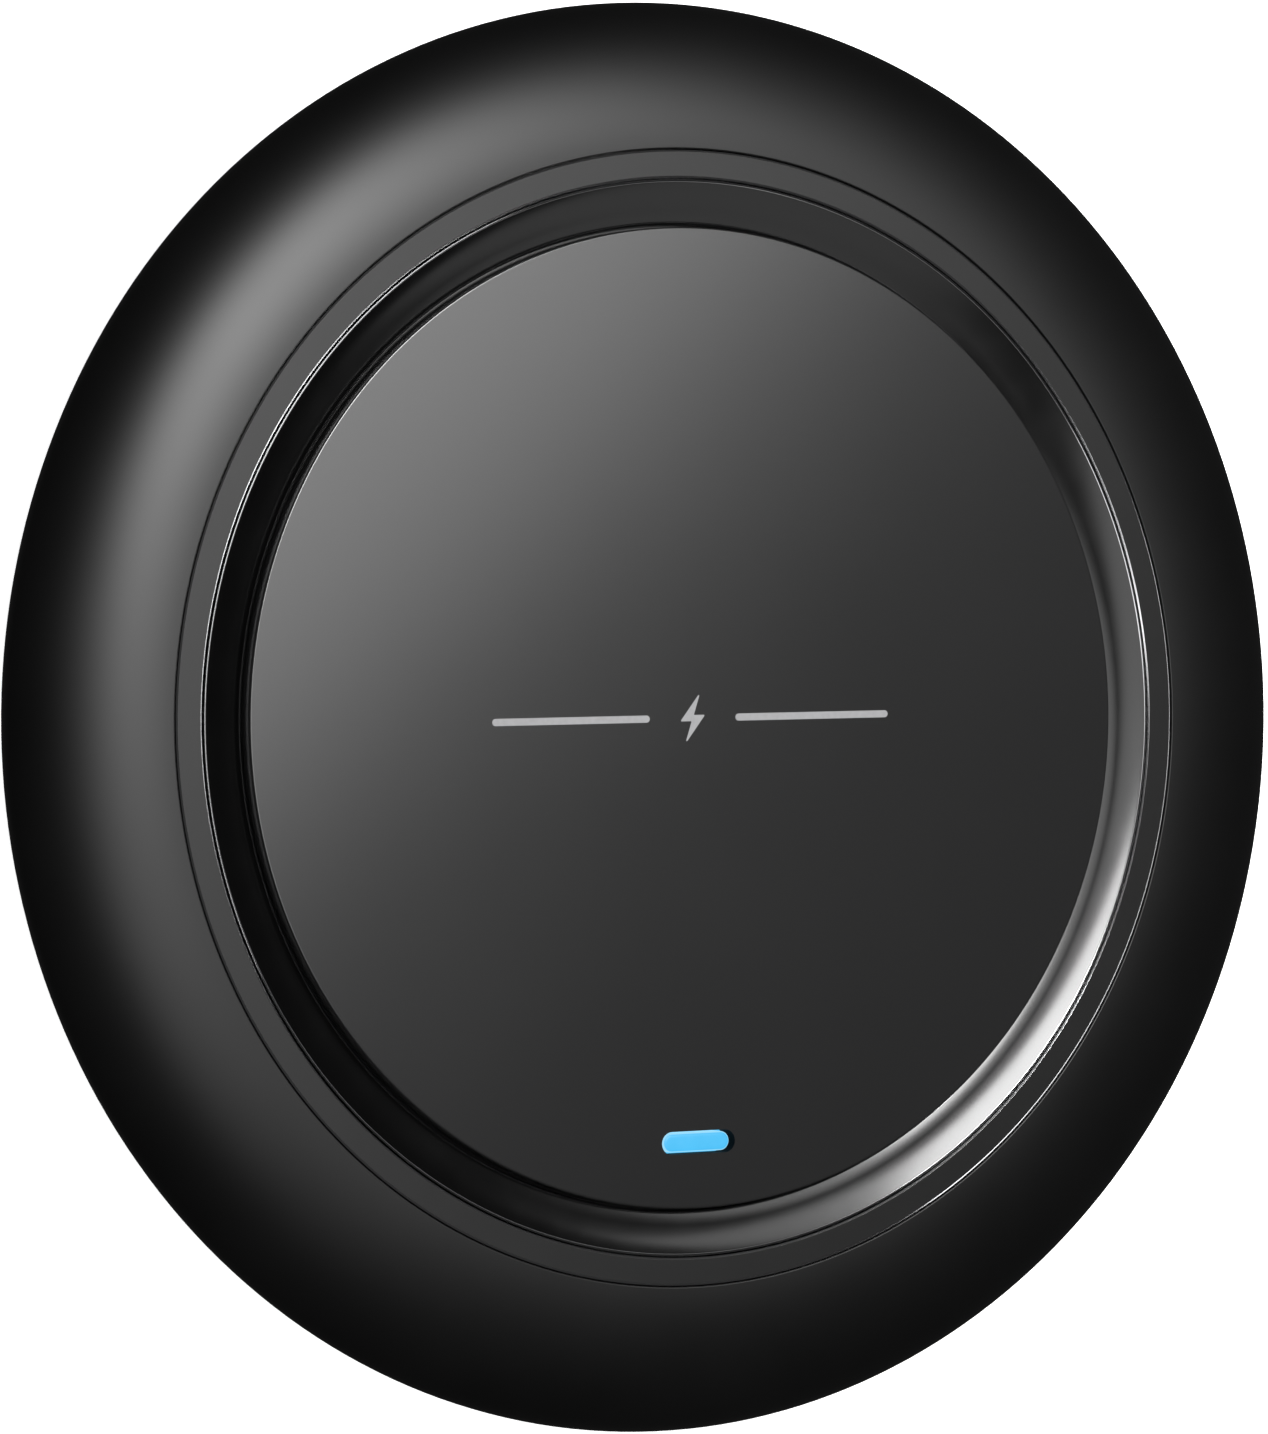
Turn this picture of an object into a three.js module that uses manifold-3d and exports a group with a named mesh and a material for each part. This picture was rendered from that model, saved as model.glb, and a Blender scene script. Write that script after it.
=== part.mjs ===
// A round wireless charging pad, as an assembly of separate pieces.
// Millimetres, +Z up. The origin is the centre of the pad on the surface it stands on.
// -Y is the front, with the status light; +Y is the rear, with the USB socket.
import * as THREE from "three";
import { mergeVertices } from "three/addons/utils/BufferGeometryUtils.js";
import Module from "manifold-3d";

const wasm = await Module();
wasm.setup();

// ---- Driving dimensions ----

const OUTER_R = 50; // the pad is 100 mm across
const DECK_Z = 10; // top of the trim ring and of the shell's crest
const PLATE_TOP_Z = 10.2; // the phone lies on the plate, just proud of the deck
const WAIST_Z = 5.5; // height of the widest circle
const BASE_Z = 0.6; // underside of the base, carried clear of the table by the foot ring
const WALL = 1.6; // shell wall

const SHELL_SEAM_R = 39.5; // centre of the gap between the shell and the trim ring
const SHELL_SEAM = 0.3;
const CHANNEL_SEAM_R = 37.5; // centre of the gap between the trim ring and the channel ring
const CHANNEL_SEAM = 0.22;
// The channel's bright face falls inwards by 0.7 mm: its tilt, in degrees, eases and grows again.
const CHANNEL_DISH = { outerTilt: 19, midTilt: 9, midR: 35.3, innerTilt: 14 };
const PLATE_R = 34.1;
const PLATE_THICK = 1.6;

const PARTING_Z = 2.5; // middle of the gap between the two shells
const PARTING_GAP = 0.2;
const BELLY_DROP = 5.3; // height of the ellipse that rounds the pad below its waist

const LIGHT_Y = -29.5;
const LIGHT_SLOT = { long: 5.8, wide: 1.5 };
const LIGHT_RECESS = 0.7; // the window's face lies this far below the plate

const BOARD_Z = 2.9; // underside of the circuit board
const BOARD_THICK = 1;
const BOARD_TOP_Z = BOARD_Z + BOARD_THICK;
const BOARD_R = 36.8;
const FERRITE_Z = 6.4;
const FERRITE_THICK = 0.8;
const FERRITE_R = 26.3;
const TAPE_THICK = 0.2;

// The socket is sunk into a notch in the board, so that its hole stays under the waist.
const SOCKET = { wide: 7.5, high: 2.5, long: 5.9, mouthY: 48.2, wall: 0.3 };
const SOCKET_MID_Z = 3.85;
const SOCKET_BACK_Y = SOCKET.mouthY - SOCKET.long;
const SOCKET_HOLE = { wide: 8.6, high: 3.4, topZ: 5.35, corner: 0.9 };

const RING_SEGMENTS = 48; // for the pieces that show
const INNER_SEGMENTS = 36; // for round pieces inside the case

// ---- Sizes that follow from them ----

const SHELL_LIP_R = SHELL_SEAM_R + SHELL_SEAM / 2;
const TRIM_OUTER_R = SHELL_SEAM_R - SHELL_SEAM / 2;
const TRIM_INNER_R = CHANNEL_SEAM_R + CHANNEL_SEAM / 2;
const CHANNEL_OUTER_R = CHANNEL_SEAM_R - CHANNEL_SEAM / 2;
const CREST_A = OUTER_R - SHELL_LIP_R; // the shell's section is two part-ellipses this wide
const CREST_B = DECK_Z - WAIST_Z;
const PLATE_Z = PLATE_TOP_Z - PLATE_THICK;
const COIL_MID_Z = (FERRITE_Z + FERRITE_THICK + PLATE_Z - TAPE_THICK) / 2;

// Steps of the shelf inside the shell, on which the three top pieces are seated.
const TRIM_SEAT_Z = 8.9;
const CHANNEL_SEAT_Z = 7.9;
const SHELF_UNDER_Z = 6.9;
const SHELF_INNER_R = 31.8;
const SEAT_GAP = 0.1;

// Base plate.
const FLOOR_Z = 1.8;
const FOOT_FLOOR_Z = 2.2; // the floor is raised over the foot's groove
const FOOT = { inner: 38, outer: 43, thick: 1.2, gap: 0.1 };
const LABEL = { radius: 19.8, thick: 0.15, recess: 0.2 };
const RIM = { inner: 45, outer: 46.2, top: 3.8 };
const STEP_R = 37.2; // where the floor steps up

// Screws: four close the case from below, four hold the board up to the shell.
const CASE_SCREW = { ring: 40.6, headR: 1.9, headH: 1.2, shankR: 0.8, headZ: 1.25, tipZ: 7 };
const CASE_BOSS = { baseR: 3.2, baseZ: 1.5, webZ: 2.5, splitZ: 3.5, shellR: 2.8, topZ: 8.2 };
const CASE_ANGLES = [45, 135, 225, 315];
const BOARD_SCREW = { ring: 34.5, headR: 1.7, headH: 0.8, shankR: 0.8, tipZ: 6.2 };
const BOARD_BOSS = { radius: 2.2, topZ: 7.2 };
const BOARD_ANGLES = [30, 150, 210, 330];
const PILOT_R = 0.85; // the hole that a screw bites into
const PILOT_SPARE = 0.3; // how far it runs past the screw's tip
const CLEARANCE_R = 1.1;

// The board reaches back between the shells to carry the socket.
const BOARD_TONGUE = { wide: 13, fromY: 30, toY: 46.5, gap: 0.2 };

// ---- Shapes ----

const radians = (degrees) => (degrees * Math.PI) / 180;

const onRing = (radius, degrees) => [
  radius * Math.cos(radians(degrees)),
  radius * Math.sin(radians(degrees)),
];

// Points of a part-ellipse in the (radius, height) plane.
function ellipse(centre, a, b, from, to, steps) {
  const points = [];
  for (let i = 0; i <= steps; i++) {
    const angle = radians(from + ((to - from) * i) / steps);
    points.push([centre[0] + a * Math.cos(angle), centre[1] + b * Math.sin(angle)]);
  }
  return points;
}

// Points of an arc in (radius, height) that falls inwards from a start to a radius, while its
// tilt goes from one angle to another, in degrees. A tilt that eases gives a hollow, one that
// grows gives a swell.
function fall([startR, startZ], endR, tiltFrom, tiltTo, steps) {
  const first = radians(tiltFrom);
  const bend = (startR - endR) / (Math.sin(first) - Math.sin(radians(tiltTo)));
  const points = [];
  for (let i = 0; i <= steps; i++) {
    const tilt = radians(tiltFrom + ((tiltTo - tiltFrom) * i) / steps);
    const along = bend * (Math.sin(first) - Math.sin(tilt));
    const down = bend * (Math.cos(tilt) - Math.cos(first));
    points.push([startR - along, startZ - down]);
  }
  return points;
}

// The same round piece at each angle of a ring.
const around = (ring, angles, radius, low, high, segments) =>
  angles.map((angle) => disc(radius, low, high, segments, onRing(ring, angle)));

// The angle on an ellipse at which it passes a height.
const angleAt = (z, centreZ, b) => (Math.asin((z - centreZ) / b) * 180) / Math.PI;

// A solid of revolution about Z. The profile runs anticlockwise in (radius, height).
function lathe(profile, segments = RING_SEGMENTS) {
  const points = profile.map(([r, z]) => new THREE.Vector2(r, z));
  return new THREE.LatheGeometry(points, segments).rotateX(Math.PI / 2);
}

// A disc or pin, from one height to another, centred on (x, y).
const disc = (radius, low, high, segments = 12, [x, y] = [0, 0]) =>
  new THREE.CylinderGeometry(radius, radius, high - low, segments)
    .rotateX(Math.PI / 2)
    .translate(x, y, (low + high) / 2);

// A block whose underside is centred on (x, y, z).
const block = (wide, deep, high, x = 0, y = 0, z = 0) =>
  new THREE.BoxGeometry(wide, deep, high).translate(x, y, z + high / 2);

// A slot outline with round ends, along X.
function stadium(long, wide) {
  const r = wide / 2;
  const reach = long / 2 - r;
  const shape = new THREE.Shape();
  shape.absarc(reach, 0, r, -Math.PI / 2, Math.PI / 2, false);
  shape.absarc(-reach, 0, r, Math.PI / 2, (3 * Math.PI) / 2, false);
  return shape;
}

// A rectangle with rounded corners, centred on the origin.
function roundedBox(wide, high, corner) {
  const x = wide / 2 - corner;
  const y = high / 2 - corner;
  const quarter = Math.PI / 2;
  const shape = new THREE.Shape();
  shape.absarc(x, -y, corner, -quarter, 0, false);
  shape.absarc(x, y, corner, 0, quarter, false);
  shape.absarc(-x, y, corner, quarter, 2 * quarter, false);
  shape.absarc(-x, -y, corner, 2 * quarter, 3 * quarter, false);
  return shape;
}

// An outline raised from one height to another.
const raised = (shape, low, high, curveSegments = 6) =>
  new THREE.ExtrudeGeometry(shape, {
    depth: high - low,
    bevelEnabled: false,
    curveSegments,
  }).translate(0, 0, low);

// An outline in X and Z, run along Y.
const alongY = (shape, fromY, toY, midZ, curveSegments = 4) =>
  new THREE.ExtrudeGeometry(shape, {
    depth: toY - fromY,
    bevelEnabled: false,
    curveSegments,
  })
    .rotateX(Math.PI / 2)
    .translate(0, toY, midZ);

// ---- Joining and cutting ----

function solid(geometry) {
  const bare = geometry.clone();
  bare.deleteAttribute("normal");
  bare.deleteAttribute("uv");
  const merged = mergeVertices(bare, 1e-4);
  return new wasm.Manifold(
    new wasm.Mesh({
      numProp: 3,
      vertProperties: merged.attributes.position.array,
      triVerts: new Uint32Array(merged.index.array),
    }),
  );
}

function geometryOf(manifold) {
  const mesh = manifold.getMesh();
  return new THREE.BufferGeometry()
    .setAttribute("position", new THREE.BufferAttribute(mesh.vertProperties, 3))
    .setIndex(new THREE.BufferAttribute(mesh.triVerts, 1));
}

// One geometry made of a first one, with others joined to it and then others cut from it.
function carve(first, { add = [], cut = [] }) {
  let made = solid(first);
  for (const piece of add) made = made.add(solid(piece));
  for (const piece of cut) made = made.subtract(solid(piece));
  const geometry = geometryOf(made).toNonIndexed();
  geometry.computeVertexNormals();
  return geometry;
}

// ---- Materials ----

const plastic = (color, roughness) =>
  new THREE.MeshStandardMaterial({ color, roughness, metalness: 0 });
const metal = (color, roughness) =>
  new THREE.MeshStandardMaterial({ color, roughness, metalness: 1 });

const MATERIAL = {
  softBlack: plastic(0x1b1b1c, 0.55),
  satinBlack: plastic(0x202021, 0.42),
  glossBlack: plastic(0x060607, 0.08),
  plateBlack: plastic(0x262627, 0.35),
  blueWindow: new THREE.MeshStandardMaterial({
    color: 0x4cc0f8,
    roughness: 0.25,
    emissive: 0x2aa6f0,
  }),
  rubber: plastic(0x141414, 0.9),
  label: plastic(0x2c2c2e, 0.6),
  steel: metal(0x9a9da1, 0.35),
  tin: metal(0xb9bcc0, 0.25),
  gold: metal(0xd8b45a, 0.25),
  copper: metal(0xb4673a, 0.35),
  ferrite: plastic(0x2b2a2c, 0.7),
  tape: plastic(0xd9d2bd, 0.8),
  foam: plastic(0x303134, 0.95),
  board: plastic(0x1d5132, 0.45),
  epoxy: plastic(0x17181a, 0.5),
  ceramic: plastic(0xb59a72, 0.6),
  lamp: plastic(0xe9e6da, 0.3),
  nylon: plastic(0x121214, 0.6),
  print: plastic(0xbcbcbe, 0.6),
};

const pad = new THREE.Group();

function place(name, geometry, material) {
  const mesh = new THREE.Mesh(geometry, MATERIAL[material]);
  mesh.name = name;
  pad.add(mesh);
  return mesh;
}

// ---- The case ----

// The outer skin of both shells, below the waist: one ellipse from the parting to the base.
const belly = (fromZ, toZ, steps) =>
  ellipse(
    [SHELL_LIP_R, WAIST_Z],
    CREST_A,
    BELLY_DROP,
    angleAt(fromZ, WAIST_Z, BELLY_DROP),
    angleAt(toZ, WAIST_Z, BELLY_DROP),
    steps,
  );

function topShell() {
  const lipZ = PARTING_Z + PARTING_GAP / 2;
  const innerA = CREST_A - WALL;
  const innerB = CREST_B - WALL;
  const middle = [SHELL_LIP_R, WAIST_Z];
  const lipAngle = angleAt(lipZ, WAIST_Z, BELLY_DROP);
  const roofEnd = 74; // the inner curve stops here, over the shelf
  const crestEnd = 84; // and the outer one here, short of the seam
  const edge = 0.15; // the crest's edge is eased where it meets the seam
  const profile = [
    ...belly(lipZ, WAIST_Z, 3),
    ...ellipse(middle, CREST_A, CREST_B, 0, crestEnd, 9).slice(1),
    [SHELL_LIP_R + edge, DECK_Z],
    [SHELL_LIP_R, DECK_Z - edge],
    [SHELL_LIP_R, TRIM_SEAT_Z],
    [CHANNEL_SEAM_R, TRIM_SEAT_Z],
    [CHANNEL_SEAM_R, CHANNEL_SEAT_Z],
    [PLATE_R + SEAT_GAP, CHANNEL_SEAT_Z],
    [PLATE_R + SEAT_GAP, PLATE_Z],
    [SHELF_INNER_R, PLATE_Z],
    [SHELF_INNER_R, SHELF_UNDER_Z],
    [SHELL_LIP_R + WALL / 2, SHELF_UNDER_Z],
    ...ellipse(middle, innerA, innerB, roofEnd, 0, 4),
    ...ellipse(middle, innerA, BELLY_DROP, 0, lipAngle, 2).slice(1),
  ];
  profile.push(profile[0]);

  const { ring, tipZ } = CASE_SCREW;
  const caseBossZ = CASE_BOSS.splitZ + 0.1;
  const boardRing = BOARD_SCREW.ring;
  const boardTipZ = BOARD_SCREW.tipZ;
  const bosses = [
    ...around(ring, CASE_ANGLES, CASE_BOSS.shellR, caseBossZ, CASE_BOSS.topZ, 14),
    ...around(boardRing, BOARD_ANGLES, BOARD_BOSS.radius, BOARD_TOP_Z, BOARD_BOSS.topZ, 12),
  ];
  const pilots = [
    ...around(ring, CASE_ANGLES, PILOT_R, BOARD_Z, tipZ + PILOT_SPARE, 8),
    ...around(boardRing, BOARD_ANGLES, PILOT_R, BOARD_Z, boardTipZ + PILOT_SPARE, 8),
  ];
  const hole = alongY(
    roundedBox(SOCKET_HOLE.wide, SOCKET_HOLE.high, SOCKET_HOLE.corner),
    SOCKET_BACK_Y + 1,
    OUTER_R + 2,
    SOCKET_HOLE.topZ - SOCKET_HOLE.high / 2,
  );
  return carve(lathe(profile), {
    add: bosses,
    cut: [...pilots, hole],
  });
}

function bottomShell() {
  const edgeZ = PARTING_Z - PARTING_GAP / 2;
  const grooveIn = FOOT.inner - FOOT.gap;
  const grooveOut = FOOT.outer + FOOT.gap;
  const profile = [
    [0, BASE_Z + LABEL.recess],
    [LABEL.radius + SEAT_GAP, BASE_Z + LABEL.recess],
    [LABEL.radius + SEAT_GAP, BASE_Z],
    [grooveIn, BASE_Z],
    [grooveIn, FOOT.thick],
    [grooveOut, FOOT.thick],
    [grooveOut, BASE_Z],
    ...belly(BASE_Z, edgeZ, 4),
    [RIM.outer, edgeZ],
    [RIM.outer, RIM.top],
    [RIM.inner, RIM.top],
    [RIM.inner, FOOT_FLOOR_Z],
    [STEP_R, FOOT_FLOOR_Z],
    [STEP_R, FLOOR_Z],
    [0, FLOOR_Z],
  ];
  const { ring, headR } = CASE_SCREW;
  const { baseR, baseZ, webZ, splitZ } = CASE_BOSS;
  const headRoom = 0.2;
  const notch = BOARD_TONGUE.wide + 2 * BOARD_TONGUE.gap;
  return carve(lathe(profile), {
    add: around(ring, CASE_ANGLES, baseR, baseZ, splitZ, 14),
    cut: [
      ...around(ring, CASE_ANGLES, headR + headRoom, BASE_Z, webZ, 12),
      ...around(ring, CASE_ANGLES, CLEARANCE_R, BASE_Z, splitZ + 1, 8),
      block(notch, 2 * (OUTER_R - RIM.inner), RIM.top, 0, OUTER_R, FOOT_FLOOR_Z),
      block(notch, RIM.outer - RIM.inner + 1, RIM.top, 0, RIM.inner, FOOT_FLOOR_Z),
    ],
  });
}

// Flat satin ring between the two seams.
function trimRing() {
  const ease = 0.12;
  const profile = [
    [TRIM_INNER_R, TRIM_SEAT_Z],
    [TRIM_OUTER_R, TRIM_SEAT_Z],
    [TRIM_OUTER_R, DECK_Z - ease],
    [TRIM_OUTER_R - ease, DECK_Z],
    [TRIM_INNER_R + ease, DECK_Z],
    [TRIM_INNER_R, DECK_Z - ease],
    [TRIM_INNER_R, TRIM_SEAT_Z],
  ];
  return lathe(profile);
}

// Polished ring whose dished face falls inwards to the plate.
function channelRing() {
  const lip = 0.18;
  const inner = PLATE_R + 2 * SEAT_GAP;
  const { midR, outerTilt, midTilt, innerTilt } = CHANNEL_DISH;
  const hollow = fall([CHANNEL_OUTER_R - lip, DECK_Z], midR, outerTilt, midTilt, 5);
  const swell = fall(hollow.at(-1), inner, midTilt, innerTilt, 3).slice(1);
  const profile = [
    [inner, CHANNEL_SEAT_Z],
    [CHANNEL_OUTER_R, CHANNEL_SEAT_Z],
    [CHANNEL_OUTER_R, DECK_Z - lip / 3],
    [CHANNEL_OUTER_R - lip / 2, DECK_Z],
    ...hollow,
    ...swell,
    [inner, CHANNEL_SEAT_Z],
  ];
  return lathe(profile);
}

// The printing: a lightning bolt between two lines, let into the plate and flush with it, so
// that a phone still lies flat.
const PRINT = { span: 31.4, line: 0.5, gap: 3.4, boltHigh: 3.6, thick: 0.05 };

function printBolt() {
  const half = PRINT.boltHigh / 2;
  const corners = [
    [0.35, 1],
    [-0.55, -0.12],
    [-0.05, -0.12],
    [-0.35, -1],
    [0.55, 0.12],
    [0.05, 0.12],
  ];
  const shape = new THREE.Shape(corners.map(([x, y]) => new THREE.Vector2(x * half, y * half)));
  return raised(shape, PLATE_TOP_Z - PRINT.thick, PLATE_TOP_Z);
}

function printLine(side) {
  const long = PRINT.span / 2 - PRINT.gap;
  const midX = side * (PRINT.gap + long / 2);
  return raised(stadium(long, PRINT.line), PLATE_TOP_Z - PRINT.thick, PLATE_TOP_Z, 4)
    .translate(midX, 0, 0);
}

// The plate that the phone lies on, with a slot for the status light.
function chargingPlate() {
  const ease = 0.2;
  const profile = [
    [0, PLATE_Z],
    [PLATE_R, PLATE_Z],
    [PLATE_R, PLATE_TOP_Z - ease],
    [PLATE_R - ease, PLATE_TOP_Z],
    [0, PLATE_TOP_Z],
  ];
  const slot = raised(stadium(LIGHT_SLOT.long, LIGHT_SLOT.wide), PLATE_Z - 1, PLATE_TOP_Z + 1)
    .translate(0, LIGHT_Y, 0);
  return carve(lathe(profile), { cut: [slot, printBolt(), printLine(-1), printLine(1)] });
}

function footRing() {
  const ease = 0.3;
  return lathe([
    [FOOT.inner, ease],
    [FOOT.inner + ease, 0],
    [FOOT.outer - ease, 0],
    [FOOT.outer, ease],
    [FOOT.outer, FOOT.thick],
    [FOOT.inner, FOOT.thick],
    [FOOT.inner, ease],
  ]);
}

// A pan-head screw, head down, with a cross recess in the head.
function screw([x, y], headZ, headH, headR, shankR, tipZ) {
  const cross = 0.45;
  const long = headR * 1.1;
  return carve(disc(headR, headZ, headZ + headH, 12, [x, y]), {
    add: [disc(shankR, headZ + headH / 2, tipZ, 8, [x, y])],
    cut: [
      block(long, cross, headH * 0.6, x, y, headZ - headH * 0.1),
      block(cross, long, headH * 0.6, x, y, headZ - headH * 0.1),
    ],
  });
}

place("top_shell", topShell(), "softBlack");
place("bottom_shell", bottomShell(), "softBlack");
place("trim_ring", trimRing(), "satinBlack");
place("channel_ring", channelRing(), "glossBlack");
place("charging_plate", chargingPlate(), "plateBlack");
place("print_bolt", printBolt(), "print");
place("print_line_left", printLine(-1), "print");
place("print_line_right", printLine(1), "print");
place("foot_ring", footRing(), "rubber");
place(
  "rating_label",
  disc(LABEL.radius, BASE_Z + LABEL.recess - LABEL.thick, BASE_Z + LABEL.recess, INNER_SEGMENTS),
  "label",
);
CASE_ANGLES.forEach((angle, i) => {
  const s = CASE_SCREW;
  const at = onRing(s.ring, angle);
  place(`case_screw_${i + 1}`, screw(at, s.headZ, s.headH, s.headR, s.shankR, s.tipZ), "steel");
});
BOARD_ANGLES.forEach((angle, i) => {
  const s = BOARD_SCREW;
  const at = onRing(s.ring, angle);
  const headZ = BOARD_Z - s.headH;
  place(`board_screw_${i + 1}`, screw(at, headZ, s.headH, s.headR, s.shankR, s.tipZ), "steel");
});

// ---- The status light ----

// A clear stem from the lamps up to the window, with a flange glued under the plate.
function lightPipe() {
  const stem = stadium(LIGHT_SLOT.long - 0.2, LIGHT_SLOT.wide - 0.2);
  return carve(raised(stem, 5, PLATE_TOP_Z - LIGHT_RECESS), {
    add: [raised(stadium(8, 3.2), PLATE_Z - 0.8, PLATE_Z)],
  }).translate(0, LIGHT_Y, 0);
}

// A foam collar that keeps the lamps' light in the stem.
function lightGasket() {
  const shape = stadium(9, 4.4);
  shape.holes.push(new THREE.Path(stadium(6.4, 2.1).getPoints(6)));
  return raised(shape, BOARD_TOP_Z, 6.8).translate(0, LIGHT_Y, 0);
}

place("light_pipe", lightPipe(), "blueWindow");
place("light_gasket", lightGasket(), "foam");
place("status_led_blue", block(2, 1.25, 0.8, -1.3, LIGHT_Y, BOARD_TOP_Z), "lamp");
place("status_led_red", block(2, 1.25, 0.8, 1.3, LIGHT_Y, BOARD_TOP_Z), "lamp");

// ---- The coil assembly, from the plate down ----

const COIL = { innerR: 10.6, pitch: 1.25, turns: 11, wireR: 0.55, stepsPerTurn: 16, sides: 6 };
const COIL_OUTER_R = COIL.innerR + COIL.pitch * COIL.turns;
const COIL_START = 10; // the angle at which the turns begin and end
const LEAD_Z = FERRITE_Z + 0.22; // the inner lead runs out at this height, in the ferrite's slot
const PAD_Z = BOARD_TOP_Z + 0.05;

// A path that passes through a list of points, one step for each.
class PointPath extends THREE.Curve {
  constructor(points) {
    super();
    this.points = points;
  }
  getPoint(t, target = new THREE.Vector3()) {
    const last = this.points.length - 1;
    const at = Math.min(Math.max(t, 0), 1) * last;
    const i = Math.min(Math.floor(at), last - 1);
    return target.lerpVectors(this.points[i], this.points[i + 1], at - i);
  }
  getUtoTmapping(u) {
    return u;
  }
}

// The wire's route: up from the outer pad, in through the turns, then down and straight out
// to the rear, in the ferrite's slot, to the inner pad.
function coilRoute() {
  const outerLead = [
    [29.2, -22, PAD_Z],
    [29.2, -22, 5.2],
    [29.1, -21, 6.4],
    [28.6, -18, 7.4],
    [27.6, -13, COIL_MID_Z],
    [26.2, -6, COIL_MID_Z],
    [25, 2, COIL_MID_Z],
  ];
  const steps = COIL.turns * COIL.stepsPerTurn;
  const turns = Array.from({ length: steps + 1 }, (_, i) => {
    const turn = i / COIL.stepsPerTurn;
    return [COIL_OUTER_R - COIL.pitch * turn, COIL_START + 360 * turn, COIL_MID_Z];
  });
  const route = [...outerLead, ...turns].map(
    ([radius, degrees, z]) => new THREE.Vector3(...onRing(radius, degrees), z),
  );
  const leadX = route.at(-1).x;
  const innerLead = [
    [2.7, 7.45],
    [3.4, 7],
    [4.1, LEAD_Z],
    [27.4, LEAD_Z],
    [28.2, 6.1],
    [28.5, 5.3],
    [28.5, PAD_Z],
  ];
  return [...route, ...innerLead.map(([y, z]) => new THREE.Vector3(leadX, y, z))];
}

function transmitCoil() {
  const corners = Array.from({ length: COIL.sides }, (_, i) => {
    const angle = ((i + 0.5) / COIL.sides) * 2 * Math.PI;
    return new THREE.Vector2(COIL.wireR * Math.cos(angle), COIL.wireR * Math.sin(angle));
  });
  const route = coilRoute();
  return new THREE.ExtrudeGeometry(new THREE.Shape(corners), {
    steps: route.length - 1,
    extrudePath: new PointPath(route),
    bevelEnabled: false,
  });
}

// The ferrite has a hole for the sensor's legs and a slot for the coil's inner lead.
function ferriteShield() {
  const slotWide = 1.8;
  const slotX = COIL.innerR * Math.cos(radians(COIL_START));
  const slotY = 1.2;
  const top = FERRITE_Z + FERRITE_THICK;
  return carve(disc(FERRITE_R, FERRITE_Z, top, INNER_SEGMENTS), {
    cut: [
      disc(2.6, FERRITE_Z - 1, top + 1, 16),
      block(slotWide, FERRITE_R, FERRITE_THICK + 2, slotX, slotY + FERRITE_R / 2, FERRITE_Z - 1),
    ],
  });
}

// A glass bead pressed up to the tape, on two legs from the board.
function thermistor() {
  const bead = new THREE.SphereGeometry(1, 14, 10)
    .scale(1.1, 1.1, 0.7)
    .translate(0, 0, COIL_MID_Z - 0.15);
  const legs = [-0.5, 0.5].map((x) => disc(0.2, BOARD_TOP_Z, COIL_MID_Z - 0.2, 6, [x, 0]));
  return carve(bead, { add: legs });
}

place("transmit_coil", transmitCoil(), "copper");
place("ferrite_shield", ferriteShield(), "ferrite");
place("coil_tape", disc(25.2, PLATE_Z - TAPE_THICK, PLATE_Z, INNER_SEGMENTS), "tape");
place("thermistor", thermistor(), "epoxy");

// ---- The board and what is soldered to it ----

function circuitBoard() {
  const { wide, fromY, toY, gap } = BOARD_TONGUE;
  const notch = block(SOCKET.wide + gap, toY, BOARD_THICK * 3, 0, 0, BOARD_Z - BOARD_THICK);
  notch.translate(0, SOCKET_BACK_Y - gap + toY / 2, 0);
  return carve(disc(BOARD_R, BOARD_Z, BOARD_TOP_Z, INNER_SEGMENTS), {
    add: [block(wide, toY - fromY, BOARD_THICK, 0, (fromY + toY) / 2, BOARD_Z)],
    cut: [
      ...around(BOARD_SCREW.ring, BOARD_ANGLES, CLEARANCE_R, BOARD_Z - 1, BOARD_TOP_Z + 1, 10),
      notch,
    ],
  });
}

// A moulded chip with a row of flat legs along two or four of its sides, and a pin-one dimple.
function chip({ wide, deep, high, legs, pitch, sides }, [x, y]) {
  const leg = { wide: 0.35, out: 0.8, high: 0.25 };
  const body = block(wide, deep, high);
  const add = [];
  for (let i = 0; i < legs; i++) {
    const along = (i - (legs - 1) / 2) * pitch;
    add.push(block(leg.wide, deep + 2 * leg.out, leg.high, along));
    if (sides === 4) add.push(block(wide + 2 * leg.out, leg.wide, leg.high, 0, along));
  }
  const dimple = disc(0.35, high - 0.15, high + 1, 8, [0.9 - wide / 2, 0.9 - deep / 2]);
  return carve(body, { add, cut: [dimple] }).translate(x, y, BOARD_TOP_Z);
}

// A ceramic capacitor with a metal cap on each end.
function capacitor({ long, deep, high }, [x, y]) {
  const cap = 0.5;
  const skin = 0.06;
  const ends = [-1, 1].map((side) => block(cap, deep, high, (side * (long - cap)) / 2));
  return carve(block(long - cap, deep - 2 * skin, high - 2 * skin, 0, 0, skin), {
    add: ends,
  }).translate(x, y, BOARD_TOP_Z);
}

// A shielded choke: a square ferrite with a round well on top, on two end pads.
function inductor(size, high, [x, y]) {
  const well = disc(size * 0.36, high - 0.2, high + 1, 16);
  const pads = [-1, 1].map((side) => block(0.8, size * 0.6, 0.4, side * (size / 2 - 0.3)));
  return carve(raised(roundedBox(size, size, 1), 0.15, high, 3), {
    add: pads,
    cut: [well],
  }).translate(x, y, BOARD_TOP_Z);
}

place("circuit_board", circuitBoard(), "board");

const CONTROLLER = { wide: 7, deep: 7, high: 1.2, legs: 8, pitch: 0.8, sides: 4 };
const MOSFET = { wide: 5, deep: 4, high: 1.5, legs: 4, pitch: 1.27, sides: 2 };
const REGULATOR = { wide: 4.5, deep: 2.5, high: 1.5, legs: 3, pitch: 1.5, sides: 2 };
const RESONANT = { long: 3.2, deep: 2.5, high: 2 };
const INPUT_CAP = { long: 3.2, deep: 2.5, high: 1.6 };

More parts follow.
